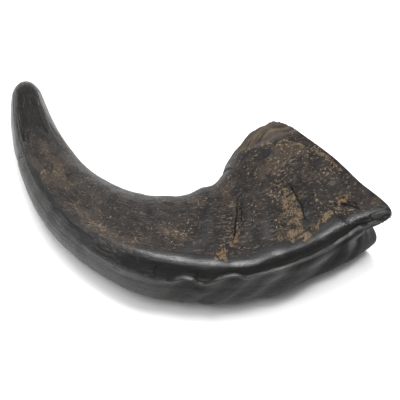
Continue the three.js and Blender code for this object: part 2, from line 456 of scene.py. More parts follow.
def hollow_radius(fibre, place):
    wall = along(WALL, place / HOLLOW_DEPTH)
    half_width = along(HALF_WIDTH, place) - wall
    half_height = along(HEIGHT, place) / 2 - wall
    plain = plain_radius(fibre_angle(fibre, place), half_width, half_height, place)
    return plain + HOLLOW_RELIEF * relief(fibre, place)


def dome_opening(distance, reach):
    missing = np.clip(1 - distance / reach, 0, 1)
    return np.sqrt(1 - missing**2)


def centre_height(place):
    """Height of the section's centre that keeps the lift under its lowest point."""
    depths = []
    for fibre in UNDERSIDE_FIBRES:
        fibres = np.full_like(place, fibre)
        depths.append(-outer_radius(fibres, place) * np.sin(leant_angle(fibres, place)))
    return along(LIFT, place) + np.max(depths, axis=0)


def place_on_section(place, fibre, radius, centre_z):
    """Points in mm on fibres at places along the horn, at a radius from the centre."""
    step = 1e-4
    ahead = np.minimum(place + step, 1)
    behind = np.maximum(place - step, 0)
    heading_x = along(SECTION_X, ahead) - along(SECTION_X, behind)
    heading_y = along(SECTION_Y, ahead) - along(SECTION_Y, behind)
    length = np.hypot(heading_x, heading_y)
    leant = leant_angle(fibre, place)
    outward = radius * np.cos(leant)
    x = along(SECTION_X, place) - heading_y / length * outward
    y = along(SECTION_Y, place) + heading_x / length * outward
    return np.stack([x, y, centre_z + radius * np.sin(leant)], axis=-1)


def arc_lengths(places):
    """Length of the centre line in mm from the base to each place."""
    even = np.linspace(0, 1, ARC_SAMPLES)
    steps = np.hypot(np.diff(along(SECTION_X, even)), np.diff(along(SECTION_Y, even)))
    return np.interp(places, even, np.concatenate([[0], np.cumsum(steps)]))


# ---- Fine relief of the keratin -----------------------------------------------------------


def lumps(points, size, stretch=1, seed=0):
    """Smooth lumps of about this size in mm, from about -1 to 1, drawn out along the fibres."""
    scaled = points / size
    scaled[..., 2] = scaled[..., 2] / stretch + SEED_STEP * seed
    heights = [noise.noise(point) for point in scaled.reshape(-1, 3).tolist()]
    return LUMP_STRENGTH * np.array(heights).reshape(points.shape[:-1])


def near_path(path, station, fibre):
    """Signed mm to a line drawn on past both ends, the mm along it, and its length."""
    corners = np.array(path, float)
    middle = corners[:, 1].mean()
    fibre_mm = FIBRE_MM * (1 - FIBRE_TAPER * corners[:, 0].mean())
    x = station * STATION_MM
    y = turn_between(middle, fibre) * fibre_mm
    corners = np.stack([corners[:, 0] * STATION_MM, (corners[:, 1] - middle) * fibre_mm], axis=1)
    nearest = np.full(np.broadcast(x, y).shape, np.inf)
    side = np.zeros_like(nearest)
    run = np.zeros_like(nearest)
    start = 0.0
    last = len(corners) - 2
    for index in range(last + 1):
        ahead = corners[index + 1] - corners[index]
        length = np.hypot(*ahead)
        ahead = ahead / length
        from_x = x - corners[index][0]
        from_y = y - corners[index][1]
        part = from_x * ahead[0] + from_y * ahead[1]
        part = np.clip(part, -np.inf if index == 0 else 0, np.inf if index == last else length)
        off = np.hypot(from_x - part * ahead[0], from_y - part * ahead[1])
        turned = np.sign(from_y * ahead[0] - from_x * ahead[1])
        nearer = off < nearest
        nearest = np.where(nearer, off, nearest)
        side = np.where(nearer, turned * off, side)
        run = np.where(nearer, start + part, run)
        start += length
    return side, run, start


def patch(path, width_start, width_end, station, fibre, ragged):
    """How far inside a patch around a line a point is: 1 on the line, 0 on its ragged edge."""
    side, run, length = near_path(path, station, fibre)
    share = np.clip(run / length, 0, 1)
    width = width_start + (width_end - width_start) * share
    past_ends = np.maximum(-run, 0) + np.maximum(run - length, 0)
    return 1 - np.hypot(side, past_ends) / width + ragged


def in_patches(patches, station, fibre, ragged, soft):
    """1 inside any patch of a list, 0 outside, with edges as soft as a share of its width."""
    inside = np.zeros_like(station + fibre)
    for path, width_start, width_end in patches:
        depth = patch(path, width_start, width_end, station, fibre, ragged)
        inside = np.maximum(inside, smooth(depth, 0, soft))
    return inside


def crack_lines(station, fibre):
    """For each crack, mm from it as a share of its half width there; it tapers to its ends."""
    farthest = 60
    thinnest = 0.02
    lines = []
    for path, half_width, _, _ in CRACKS:
        side, run, length = near_path(path, station, fibre)
        opens = smooth(run, -CRACK_LINE_PAST, CRACK_TAPER * length)
        closes = 1 - smooth(run, (1 - CRACK_TAPER) * length, length + CRACK_LINE_PAST)
        taper = np.maximum(opens * closes, thinnest)
        lines.append(np.clip(side / (half_width * taper), -farthest, farthest))
    return lines


def fibre_on(line, station):
    """The fibre that a line of stations and fibres follows at each station."""
    stations, fibres = np.array(line).T
    return np.interp(station, stations, fibres)


def turn_from(line, station, fibre):
    """Degrees from such a line to a fibre."""
    return turn_between(fibre_on(line, station), fibre)


def mm_from(start, station, fibre):
    """The mm around the horn from one fibre to another."""
    return turn_between(start, fibre) * FIBRE_MM * (1 - FIBRE_TAPER * station)


def until(value, limits):
    """1 before the first limit, 0 after the second."""
    return 1 - smooth(value, *limits)


def layer(grain, form):
    """One layer of lumps, from its height, size, stretch and seed."""
    height, size, stretch, seed = form
    return height * lumps(grain, size, stretch, seed)


def smooth_masks(station, fibre, ragged):
    """The smooth and the glossy skin of roll and flank, the tip, and the satin toward it."""
    crest_turn = turn_from(ROLL_CREST, station, fibre)
    roll_reach = until(station, ROLL_FADES)
    start, end, soft = ROLL_TURNS
    end = end - ROLL_LESS_AT_BASE * until(station, ROLL_WIDENS)
    roll = window(crest_turn, start, end, soft) * roll_reach
    crest = window(crest_turn, *CREST_TURNS) * roll_reach
    flank = window(turn_from(FLANK, station, fibre), *FLANK_TURNS)
    flank = flank * (1 - FLANK_DULLNESS * smooth(station, *FLANK_DULLS))
    flank = flank * until(station, FLANK_FADES)
    wandering = station + SMOOTH_WANDERS * ragged
    inward = np.clip(turn_between(SATIN_SIDE, fibre), 0, QUARTER) / QUARTER
    return {
        "polish": np.clip(roll + flank, 0, 1),
        "gloss": np.clip(crest + flank, 0, 1),
        "tip": smooth(wandering, *TIP_STARTS),
        "satin": smooth(wandering + inward, *SATIN_STARTS),
    }


def dry_mask(fibre, masks):
    upper = window(turn_between(TOP_FIBRE, fibre), *UPPER_TURNS)
    dry = upper - DRY_LESS_POLISH * masks["polish"]
    dry = np.clip(dry, 0, 1) * (1 - DRY_LESS_TIP * masks["tip"])
    return dry * (1 - DRY_LESS_RUBBED * masks["rubbed"])


def torn_masks(station, fibre, ragged):
    """The frayed fibres at the base of the inner side, and the torn edge along them."""
    past_edge = turn_from(TORN_EDGE, station, fibre)
    fibrous = smooth(past_edge, *FRAYING_STARTS)
    fibrous = fibrous * (1 - smooth(past_edge + FRAYING_WANDERS * ragged, *FRAYING_ENDS))
    wandering = station + FRAYING_STOP_WANDERS * ragged
    fibrous = fibrous * until(wandering, FRAYING_STOPS)
    torn_edge = bell(past_edge - TORN_RIM_TURN, TORN_RIM_SPREAD)
    return {"fibrous": fibrous, "torn_edge": torn_edge * until(station, TORN_RIM_STOPS)}


def beside_lip(form, above_lip, station):
    """How strong something that follows the lip is, from its row of values."""
    at, spread, strength, loses, fades = form
    strength = strength - loses * smooth(station, *fades)
    return strength * bell(above_lip - at, spread) * smooth(station, *LIP_CLEARS_RIM)


def lip_masks(station, fibre, grain):
    """The thin lip, its shine and painted highlight, painted shade around it, and the band below.
    """
    lip = fibre_on(LIP_EDGE, station)
    above_lip = mm_from(lip, station, fibre)
    reach = until(station, LIP_ENDS)
    edge = bell(above_lip, np.where(above_lip > 0, LIP_ROUND_ABOVE, LIP_ROUND_BELOW))
    folds = beside_lip(LIP_CREASE, above_lip, station)
    folds = folds + beside_lip(LIP_UNDERCUT, above_lip, station)
    height = (LIP_HEIGHT * edge - folds) * reach * (1 + layer(grain, LIP_LUMPS))

    below = until(above_lip, BELOW_LIP)
    below = below * smooth(turn_between(LOWER_FIBRE, fibre), *LOWER_FADE)
    crest = fibre_on(ROLL_CREST, station)
    way_up = turn_between(lip, fibre) / np.maximum(crest - lip, 1)
    trough = smooth(way_up, *TROUGH_RISES) * until(way_up, TROUGH_FALLS)
    trough = trough * smooth(station, *TROUGH_STARTS) * until(station, TROUGH_ENDS)
    # Painted shade: the hollow under the lip and the trough between lip and crest are blackened
    # in colour.
    under_lip_shade = beside_lip(LIP_SHADE, above_lip, station) * reach
    return {
        "lip_height": height,
        # Gloss and a painted highlight along the lip's edge.
        "lip_line": beside_lip(LIP_SHINE, above_lip, station) * reach,
        "crevice_shade": np.maximum(under_lip_shade, TROUGH_SHARE * trough),
        "below_lip": below,
        "shaded": below * until(station, SHADED_ENDS),
    }


def flute_masks(station, fibre, arc, below_lip):
    """The slanting flutes of the band below the lip, their depth, and mm across them."""
    around = mm_from(0, station, fibre)
    across = arc * math.cos(FLUTE_SLANT) + around * math.sin(FLUTE_SLANT)
    flute = np.zeros_like(arc)
    flute_depth = np.zeros_like(arc)
    for flute_station, half_width, depth in FLUTES:
        at = arc_lengths(flute_station / SPANS) * math.cos(FLUTE_SLANT)
        inside = bell(across - at, half_width * FLUTE_SPREAD)
        flute_depth = np.where(inside > flute, depth, flute_depth)
        flute = np.maximum(flute, inside)
    flute = flute * below_lip * until(station, FLUTES_END)
    return {"flute": flute, "flute_depth": flute_depth, "across_flutes": across}


def pit_mask(station, fibre):
    pitted = np.zeros_like(station)
    for pit_station, pit_fibre, radius in PITS:
        run = (station - pit_station) * STATION_MM
        rise = turn_between(pit_fibre, fibre) * FIBRE_MM
        pitted = np.maximum(pitted, bell(np.hypot(run, rise), radius))
    return pitted


def surface_masks(station, fibre, grain):
    """Where each character of the surface shows, mostly from 0 to 1."""
    ragged = layer(grain, RAGGED_EDGE)
    fine_ragged = layer(grain, FINE_RAGGED_EDGE)
    masks = {}
    for name, (patches, coarse, fine, soft) in PATCHES.items():
        edge = coarse * ragged + fine * fine_ragged
        masks[name] = in_patches(patches, station, fibre, edge, soft)
    masks.update(smooth_masks(station, fibre, ragged))
    masks.update(torn_masks(station, fibre, ragged))
    masks.update(lip_masks(station, fibre, grain))
    masks.update(flute_masks(station, fibre, grain[..., 2], masks["below_lip"]))
    masks["pitted"] = pit_mask(station, fibre)
    masks["dry"] = dry_mask(fibre, masks)
    return masks


def skin_lumps(grain, masks):
    """Lumps of the dry skin, its lines, and the ridges and lumps of the frayed fibres."""
    height = layer(grain, FIBRE_LINES) * (1 - LINES_LESS_POLISH * masks["polish"])
    for form, kept in DRY_LUMPS:
        height += layer(grain, form) * (kept + (1 - kept) * masks["dry"])
    ridges = FRAYED_RIDGES[0] - 2 * np.abs(layer(grain, FRAYED_RIDGES))
    return height + masks["fibrous"] * (ridges + layer(grain, FRAYED_LUMPS))


def growth_rings(station, fibre, grain):
    fading = 1 - RINGS_LOSE * smooth(station, *RINGS_FADE)
    one_side = smooth(turn_between(RINGS_FIBRE, fibre), *RINGS_STOP)
    return layer(grain, GROWTH_RINGS) * fading * one_side


def notch_pleats(station, fibre):
    run = (station - NOTCH[0]) * STATION_MM
    rise = turn_between(NOTCH[1], fibre) * FIBRE_MM
    fan = np.sin(PLEATS * np.arctan2(rise, run + PLEAT_CENTRE))
    return PLEAT_HEIGHT * fan * window(np.hypot(run, rise), *PLEAT_REACH)


def roll_bead(station, fibre, grain):
    """The bead that rounds the crest of the roll, lumpy, with a dip above it."""
    turn = turn_from(ROLL_CREST, station, fibre)
    at, spread, height = BEAD
    bead = (height - BEAD_LOSES * smooth(station, *BEAD_SHRINKS)) * bell(turn - at, spread)
    at, spread, depth = BEAD_DIP
    bead -= depth * bell(turn - at, spread)
    bead += bell(turn, BEAD_LUMPS_SPREAD) * layer(grain, BEAD_LUMPS)
    return bead * window(station, *BEAD_STATIONS)


def crack_relief(station, fibre):
    height = np.zeros_like(station)
    for path, _, depth, lift in CRACKS:
        side, run, length = near_path(path, station, fibre)
        past_end = length + CRACK_RELIEF_PAST
        inside = window(run, -CRACK_RELIEF_PAST, past_end, CRACK_TAPER * length)
        height -= depth * inside * bell(side, CRACK_SPREAD)
        raised = np.where(side > 0, lift, CRACK_FAR_SIDE * lift)
        raised = raised * np.exp(-np.abs(side) / CRACK_LIFT_REACH)
        height += raised * inside * smooth(np.abs(side), *CRACK_LIFT_STARTS)
    return height


def local_forms(station, fibre):
    height = np.zeros_like(station)
    for path, width, rise, (starts, full) in LOCAL_FORMS:
        inside = patch(path, width, width, station, fibre, 0)
        height += rise * smooth(inside, starts, full)
    return height


def fine_relief(station, fibre, grain, masks):
    """Height in mm of everything finer than the solid's folds."""
    height = skin_lumps(grain, masks)
    height += growth_rings(station, fibre, grain)
    height += notch_pleats(station, fibre) * masks["below_lip"]
    height += roll_bead(station, fibre, grain)
    height += crack_relief(station, fibre)
    height += local_forms(station, fibre)
    height += masks["lip_height"] - masks["flute"] * masks["flute_depth"]
    for name, rise in MASK_HEIGHTS.items():
        height += rise * masks[name]
    return height


# ---- The skin -----------------------------------------------------------------------------


def skin_rows():
    """For each row: place along the horn, share of the wall, mm set back, and dome opening."""
    rows = []
    for row in range(HOLLOW_ROWS):
        place = HOLLOW_DEPTH * math.cos(row / HOLLOW_ROWS * math.pi / 2)
        rows.append((place, 0, 0, dome_opening(HOLLOW_DEPTH - place, HOLLOW_DOME)))
    for share, set_back in RIM_PROFILE:
        rows.append((0, share, set_back, 1))
    for row in range(1, OUTER_ROWS + 1):
        share = row / OUTER_ROWS
        place = (1 - TIP_DOME) * share * (1 - ROW_CROWDING + ROW_CROWDING * share)
        rows.append((place, 1, 0, 1))
    for row in range(1, DOME_ROWS + 1):
        place = 1 - TIP_DOME + TIP_DOME * math.sin(row / DOME_ROWS * math.pi / 2)
        rows.append((place, 1, 0, dome_opening(1 - place, TIP_DOME)))
    return np.array(rows).T


def column_fibres():
    even = np.linspace(0, 2 * math.pi, COLUMNS + 1)
    return np.degrees(even - COLUMN_CROWDING * np.sin(even)) + CROWDED_FIBRE


def shape_skin():
    """Points of the skin in metres, row by row, and the values that the finish reads."""
    places, walls, set_backs, openings = skin_rows()
    fibres = column_fibres()
    place, fibre = np.meshgrid(places, fibres, indexing="ij")
    station = place * SPANS
    arc = np.broadcast_to(arc_lengths(places)[:, None], place.shape)
    around = np.radians(fibre)
    grain = np.stack([GRAIN_RADIUS * np.cos(around), GRAIN_RADIUS * np.sin(around), arc], axis=-1)

    masks = surface_masks(station, fibre, grain)
    outer = outer_radius(fibre, place)
    centre_z = centre_height(places)[:, None]
    opening = openings[:, None]
    plain = place_on_section(place, fibre, outer * opening, centre_z)
    is_outer = walls == 1
    plain_low = plain[is_outer].reshape(-1, 3).min(axis=0)
    plain_high = plain[is_outer].reshape(-1, 3).max(axis=0)

    outer = outer + fine_relief(station, fibre, grain, masks)
    hollow = hollow_radius(fibre, np.minimum(place, HOLLOW_DEPTH))
    for form in HOLLOW_LUMPS:
        hollow = hollow + layer(grain, form)
    wall = walls[:, None]
    radius = (hollow * (1 - wall) + outer * wall) * opening
    points = place_on_section(place, fibre, radius, centre_z)
    points[..., 0] -= set_backs[:, None]

    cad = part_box("horn")
    middle = (np.array(cad[0]) + np.array(cad[1])) / 2
    shift = middle / MM - (plain_low + plain_high) / 2
    shift[2] = cad[0].z / MM - plain_low[2]
    points = np.clip((points + shift) * MM, cad_low, cad_high)

    inside = (walls < 1)[:, None]
    on_rim = (inside & (set_backs + walls > 0)[:, None]) * np.ones_like(place)
    values = {name: masks[name] for name in SURFACE_MASKS}
    values["sawn"] = on_rim
    values["hollow"] = (inside & (walls == 0)[:, None]) * (1 - on_rim)
    hatch = [masks["across_flutes"], HATCH_STRETCH * grain[..., 2], 0 * place]
    hatch = np.stack(hatch, axis=-1)
    vectors = {"grain": grain * MM, "hatch": hatch * MM}
    lines = crack_lines(station, fibre)
    for first in range(0, len(lines), 3):
        vectors[f"cracks_{first // 3}"] = np.stack(lines[first : first + 3], axis=-1)
    return points, values, vectors


def store(mesh, name, kind, data):
    """Keeps one value or vector for each point of the mesh, for its finish to read."""
    attribute = mesh.attributes.new(name, kind, "POINT")
    field = "value" if kind == "FLOAT" else "vector"
    attribute.data.foreach_set(field, np.ascontiguousarray(data, dtype=np.float32).ravel())


def make_horn():
    points, values, vectors = shape_skin()
    rows = points.shape[0] - 1
    grid = bmesh.new()
    bmesh.ops.create_grid(grid, x_segments=COLUMNS, y_segments=rows, size=0.5)
    mesh = bpy.data.meshes.new("horn_skin")
    grid.to_mesh(mesh)
    grid.free()

    flat = np.empty(len(mesh.vertices) * 3, dtype=np.float32)
    mesh.vertices.foreach_get("co", flat)
    shares = flat.reshape(-1, 3) + 0.5
    column = np.rint(shares[:, 0] * COLUMNS).astype(int)
    row = np.rint(shares[:, 1] * rows).astype(int)
    mesh.vertices.foreach_set("co", points[row, column].astype(np.float32).ravel())
    for name, data in values.items():
        store(mesh, name, "FLOAT", data[row, column])
    for name, data in vectors.items():
        store(mesh, name, "FLOAT_VECTOR", data[row, column])

    skin = bmesh.new()
    skin.from_mesh(mesh)
    bmesh.ops.remove_doubles(skin, verts=skin.verts, dist=1e-6)
    bmesh.ops.recalc_face_normals(skin, faces=skin.faces)
    for face in skin.faces:
        face.smooth = True
    skin.to_mesh(mesh)
    skin.free()
    horn = bpy.data.objects.new("horn_skin", mesh)
    bpy.context.scene.collection.objects.link(horn)
    return horn


# ---- Finish -------------------------------------------------------------------------------


class Finish:
    """A material whose nodes are added by short calls; each call gives back its output."""

    def __init__(self, name):
        self.material = bpy.data.materials.new(name)
        self.material.use_nodes = True
        self.nodes = self.material.node_tree.nodes
        self.links = self.material.node_tree.links
        self.shader = self.nodes["Principled BSDF"]

    def put(self, socket, value):
        if isinstance(value, bpy.types.NodeSocket):
            self.links.new(value, socket)
        else:
            socket.default_value = value

    def stored(self, name, output="Fac"):
        """A value, or with "Vector" a vector, that the skin keeps at its points."""
        node = self.nodes.new("ShaderNodeAttribute")
        node.attribute_name = name
        return node.outputs[output]

    def spot(self):
        return self.nodes.new("ShaderNodeTexCoord").outputs["Object"]

    def setting(self, name, number):
        """A plain number of the shader."""
        self.shader.inputs[name].default_value = number

    def stretched(self, vector, scale):
        node = self.nodes.new("ShaderNodeMapping")
        self.put(node.inputs["Vector"], vector)
        node.inputs["Scale"].default_value = scale
        return node.outputs["Vector"]

    def noise(self, vector, size, detail, rough, warp):
        """Cloudy noise around 0.5 with features of about this size in mm."""
        node = self.nodes.new("ShaderNodeTexNoise")
        self.put(node.inputs["Vector"], vector)
        node.inputs["Scale"].default_value = 1 / (size * MM)
        node.inputs["Detail"].default_value = detail
        node.inputs["Roughness"].default_value = rough
        node.inputs["Distortion"].default_value = warp
        return node.outputs["Fac"]

    def step(self, value, start, end, low=0, high=1):
        """low where the value is under start, high over end, smooth between."""
        node = self.nodes.new("ShaderNodeMapRange")
        node.interpolation_type = "SMOOTHSTEP"
        for name, entry in zip(("Value", "From Min", "From Max", "To Min", "To Max"),
                               (value, start, end, low, high)):
            self.put(node.inputs[name], entry)
        return node.outputs["Result"]

    def maths(self, operation, first, second=0.0):
        node = self.nodes.new("ShaderNodeMath")
        node.operation = operation
        self.put(node.inputs[0], first)
        self.put(node.inputs[1], second)
        return node.outputs["Value"]

    def chain(self, operation, values):
        result = values[0]
        for value in values[1:]:
            result = self.maths(operation, result, value)
        return result

    def times(self, *values):
        return self.chain("MULTIPLY", values)

    def plus(self, *values):
        return self.chain("ADD", values)

    def rest(self, value, share=1.0):
        """What is left of 1 once a share of the value is taken away."""
        return self.maths("SUBTRACT", 1.0, self.maths("MULTIPLY", value, share))

    def either(self, *values):
        """The largest of the values."""
        return self.chain("MAXIMUM", values)

    def blend(self, parts, terms):
        """A sum of terms, each a weight and the names of the parts that it multiplies."""
        if isinstance(terms, str):
            return parts[terms]
        products = []
        for weight, *names in terms:
            products.append(self.times(*(parts[name] for name in names), weight))
        return self.plus(*products)

    def between(self, share, first, second):
        """A number between two, by a share."""
        node = self.nodes.new("ShaderNodeMix")
        node.data_type = "FLOAT"
        self.put(node.inputs[0], share)
        self.put(node.inputs[2], first)
        self.put(node.inputs[3], second)
        return node.outputs[0]

    def tint(self, share, first, second):
        """A colour between two, by a share."""
        node = self.nodes.new("ShaderNodeMix")
        node.data_type = "RGBA"
        self.put(node.inputs[0], share)
        for socket, colour in ((node.inputs[6], first), (node.inputs[7], second)):
            is_plain = isinstance(colour, tuple)
            self.put(socket, (*colour, 1) if is_plain else colour)
        return node.outputs[2]


BLACK_BROWN = (0.007, 0.0065, 0.0065)
GREY_BROWN = (0.029, 0.0228, 0.0202)
WARM_BROWN = (0.0414, 0.0303, 0.0222)
FLECK = (0.222, 0.148, 0.0814)
PALE_FLECK = (0.2442, 0.2072, 0.1628)
FLAKE_DARK = (0.0266, 0.02, 0.0148)
FLAKE_LIGHT = (0.172, 0.129, 0.088)
RUST = (0.20, 0.1, 0.035)
FIBRE_DARK = (0.0296, 0.0229, 0.0178)
FIBRE_LIGHT = (0.1258, 0.0962, 0.0703)
# Pale of scratches, hatching and the torn rim, also used as the painted highlight along the lip.
SCRATCH_AND_GLINT_PALE = (0.11, 0.095, 0.085)
# Black of cracks and dark specks, also used as painted shade in the crevice under the lip and the
# trough.
CRACK_AND_SHADE_BLACK = (0.003, 0.0025, 0.002)
CUT_DARK = (0.03, 0.025, 0.021)
CUT_LIGHT = (0.11, 0.09, 0.07)
HOLLOW_DARK = (0.055, 0.040, 0.028)
HOLLOW_LIGHT = (0.20, 0.15, 0.10)

# Coordinates drawn out from others: the noise is longer where the scale is smaller.
STRETCHED = {
    "fibres": ("grain", (1, 1, 0.07)),
    "short fibres": ("grain", (1, 1, 0.5)),
    "hairs": ("grain", (1, 1, 0.25)),
    "layers": ("grain", (0.3, 0.3, 1)),
    "scratches": ("spot", (1, 0.16, 1)),
}
# Noises: coordinates, size in mm, detail, roughness and warp.
NOISES = {
    "clouds": ("spot", 34, 3, 0.6, 0),
    "clusters": ("spot", 13, 6, 0.72, 0),
    "mottle": ("spot", 8, 7, 0.7, 0.5),
    "curls": ("spot", 2.8, 3, 0.6, 1.2),
    "wobble": ("spot", 1.6, 3, 0.65, 0),
    "fine_lumps": ("spot", 1.6, 3, 0.6, 0),
    "specks": ("spot", 1.3, 1, 0.5, 0.3),
    "grit": ("spot", 0.9, 3, 0.8, 0),
    "bold_lines": ("fibres", 4.5, 5, 0.65, 0),
    "lines": ("fibres", 1.1, 4, 0.65, 0),
    "fine_lines": ("fibres", 0.8, 3, 0.6, 0),
    "hairs": ("hairs", 3.5, 3, 0.6, 0.6),
    "dashes": ("short fibres", 1.3, 2, 0.6, 0),
    "scratch_lines": ("scratches", 0.9, 3, 0.6, 0),
    "hatch_lines": ("hatch", 0.9, 4, 0.7, 0),
    "layers": ("layers", 3, 4, 0.7, 0),
}
CREASED = ("curls", "hairs")  # noises that are folded into lines where they pass their middle

RUBBED_SMOOTH = 0.75  # how smooth a rubbed patch is, beside the roll
SMOOTH_LOSES = 0.75  # share of the fine relief that smooth skin lacks
SATIN_LOSES = 0.3  # share of the flecks that satin skin lacks
CREVICE_LOSES = 0.9  # and that a crevice lacks

# Sums of weighted parts. A term is its weight and the parts that are multiplied with it.
CROWD = (
    (0.115,), (0.5, "clusters"), (0.035, "worn"), (0.05, "dry"), (-0.08, "smoothed"),
)
# The below_lip and flute terms of the tone are painted shade: they darken the band under the lip
# and the hollows of its flutes.
TONE = (
    (-0.065,), (0.35, "mottle"), (0.15, "bold_lines"), (0.45, "grit"), (0.15, "lines"),
    (0.06, "worn"), (-0.1, "smoothed"), (-0.07, "below_lip"), (0.02, "tip"), (-0.2, "flute"),
    (-0.06, "gloss"),
)
# How far a crack's line wavers, and where its dark inside ends, in its half widths.
CRACK_WAVERS = ((2.4, "wobble"), (-1.2,))
CRACK_EDGE = (0.5, 1.5, 1, 0)
# Shares: a smooth step over such a sum or one part, from where it starts to where it is full,
# and its range where that isn't 0 to 1.
SHARES = {
    "grey": (TONE, 0.41, 0.57),
    "warm": (((0.5, "clouds"), (0.5, "mottle"), (0.14, "worn")), 0.52, 0.66),
    "pit": ("pitted", 0.15, 0.45),
    "curl": ("curls", 0.06, 0.03),
    "thin_curl": ("curls", 0.05, 0.01),
    "thin_hair": ("hairs", 0.03, 0.01),
    "dash": ("dashes", 0.45, 0.6),
    "crowded_dash": (((1, "dashes"), *CROWD), 1.0, 1.12),
    "crowded_speck": (((1, "specks"), *CROWD), 1.1, 1.17),
    "dark_speck": ("specks", 0.32, 0.27),
    "rust_speck": ("specks", 0.48, 0.62),
    "rust_area": (((1, "rusty"), (0.9, "grit"), (0.5, "mottle")), 1.2, 1.6),
    "flake_area": (
        ((1, "flaked"), (1.5, "mottle"), (0.8, "grit"), (0.8, "specks")), 1.95, 2.45,
    ),
    "flake_light": (((1, "grit"), (0.9, "mottle"), (0.6, "specks")), 1.08, 1.42),
    "flake_cover": (((1, "grit"), (0.5, "mottle")), 0.62, 0.8, 0.25, 0.95),
    "fibre_light": (((0.7, "lines"), (0.3, "mottle"), (0.2, "grit")), 0.48, 0.72),
    "scratch_line": ("scratch_lines", 0.5, 0.68),
    "hatch_line": ("hatch_lines", 0.5, 0.7),
    "cut_light": ("layers", 0.35, 0.65),
    "hollow_light": ("lines", 0.3, 0.7),
    "gloss_cover": ("mottle", 0.35, 0.65, 0.35, 0.65),
    "gloss_streaks": ("lines", 0.38, 0.6, 0.5, 1.1),
    "gloss_grit": ("grit", 0.3, 0.45, 0.5, 1),
}
# What covers the ground colour, in order: how much, by which parts, and the colour or the
# name of a mixed one.
COVERS = (
    ((0.85, "warm", "dry"), WARM_BROWN),
    ((1, "fleck"), FLECK),
    ((0.7, "crowded_speck", "clean"), PALE_FLECK),
    ((0.3, "hair", "clean"), PALE_FLECK),
    ((0.85, "dark_speck"), CRACK_AND_SHADE_BLACK),
    ((1, "flake_area", "flake_cover"), "flake"),
    ((0.7, "rust_area", "rust_speck"), RUST),
    ((0.85, "fibrous"), "fibre"),
    ((0.5, "scratched", "scratch_line"), SCRATCH_AND_GLINT_PALE),
    ((0.25, "below_lip", "hatch_line"), SCRATCH_AND_GLINT_PALE),
    # Painted shade in the crevice under the lip and the trough above it.
    ((0.8, "crevice_shade"), CRACK_AND_SHADE_BLACK),
    # Painted highlight along the lip's edge.
    ((0.3, "lip_line"), SCRATCH_AND_GLINT_PALE),
    ((0.5, "torn_edge"), SCRATCH_AND_GLINT_PALE),
    ((1, "sawn"), "cut"),
    ((1, "hollow"), "hollow"),
    ((1, "crack"), CRACK_AND_SHADE_BLACK),
)
FLAKE_CURLS = 0.6  # how much pale curls cover of the flaked colour

# Roughness of the dry skin, and what takes its place by a share.
ROUGHNESS = ((0.28,), (0.2, "mottle"), (0.14, "grit"))
ROUGHNESS_THERE = {
    "smoothed": ((0.38,), (0.12, "grit")),
    "crevice_shade": ((0.7,),),
    "shaded": ((0.66,), (0.2, "flute")),
    "matte": ((0.82,),),
}
# Weight of the gloss that lies over the skin, and the share that some parts take off it.
COAT = (
    (1, "gloss", "gloss_cover"), (0.25, "tip"), (1, "burnished", "gloss_streaks"),
    (0.12, "rubbed"), (0.12, "below_lip"), (-0.08, "shaded"), (0.4, "lip_line"),
    (-0.4, "lip_line", "satin"), (0.3, "satin"),
)
COAT_LOSES = {"flute": 0.9, "matte": 1, "crevice_shade": 1.2}
KERATIN_IOR = 1.5
KERATIN_SPECULAR = 0.19
COAT_ROUGHNESS = 0.16
COAT_IOR = 1.5

# Relief too fine for the mesh, in mm.
RELIEF = (
    (0.22, "lines", "bare"), (0.75, "mottle", "bare"), (0.65, "grit", "bare"),
    (-0.075, "hair"), (0.12, "fleck"), (0.9, "fibrous", "lines"), (1.2, "hollow", "lines"),
    (-0.2, "flake_area"), (0.5, "flake_area", "grit"), (0.3, "scratched", "scratch_lines"),
    (0.2, "below_lip", "hatch_lines"), (0.1, "polish", "fine_lines"),
    (0.16, "polish", "fine_lumps"), (0.4, "sawn", "layers"), (-0.9, "crack"),
)


def crack_depth(finish, wobble):
    """1 in the middle of a crack, 0 beside it."""
    depth = 0.0
    for group in range((len(CRACKS) + 2) // 3):
        split = finish.nodes.new("ShaderNodeSeparateXYZ")
        finish.put(split.inputs[0], finish.stored(f"cracks_{group}", "Vector"))
        for line in range(min(3, len(CRACKS) - 3 * group)):
            distance = finish.maths("ABSOLUTE", finish.plus(split.outputs[line], wobble))
            depth = finish.either(finish.step(distance, *CRACK_EDGE), depth)
    return depth


def keratin_parts(finish):
    """The stored masks, noises and shares that colour, gloss and relief are mixed from."""
    spaces = {name: finish.stored(name, "Vector") for name in ("grain", "hatch")}
    spaces["spot"] = finish.spot()
    for name, (source, scale) in STRETCHED.items():
        spaces[name] = finish.stretched(spaces[source], scale)
    parts = {name: finish.stored(name) for name in (*SURFACE_MASKS, "sawn", "hollow")}
    for name, (space, *settings) in NOISES.items():
        parts[name] = finish.noise(spaces[space], *settings)
    for name in CREASED:
        parts[name] = finish.maths("ABSOLUTE", finish.plus(parts[name], -0.5))

    rubbed = finish.times(parts["rubbed"], RUBBED_SMOOTH)
    parts["smoothed"] = finish.either(rubbed, parts["polish"], parts["tip"])
    parts["bare"] = finish.rest(parts["smoothed"], SMOOTH_LOSES)
    for name, (terms, *limits) in SHARES.items():
        parts[name] = finish.step(finish.blend(parts, terms), *limits)
    cracks = crack_depth(finish, finish.blend(parts, CRACK_WAVERS))
    parts["crack"] = finish.either(cracks, parts["pit"])
    parts["clean"] = finish.times(
        finish.rest(finish.either(parts["polish"], parts["below_lip"])),
        finish.rest(parts["satin"], SATIN_LOSES),
        finish.rest(parts["crevice_shade"], CREVICE_LOSES),
    )
    parts["hair"] = finish.times(parts["thin_hair"], parts["dash"])
    parts["fleck"] = finish.times(parts["curl"], parts["crowded_dash"], parts["clean"])
    cut_open = finish.plus(parts["sawn"], parts["hollow"])
    parts["matte"] = finish.either(parts["flake_area"], parts["fibrous"], cut_open)
    return parts


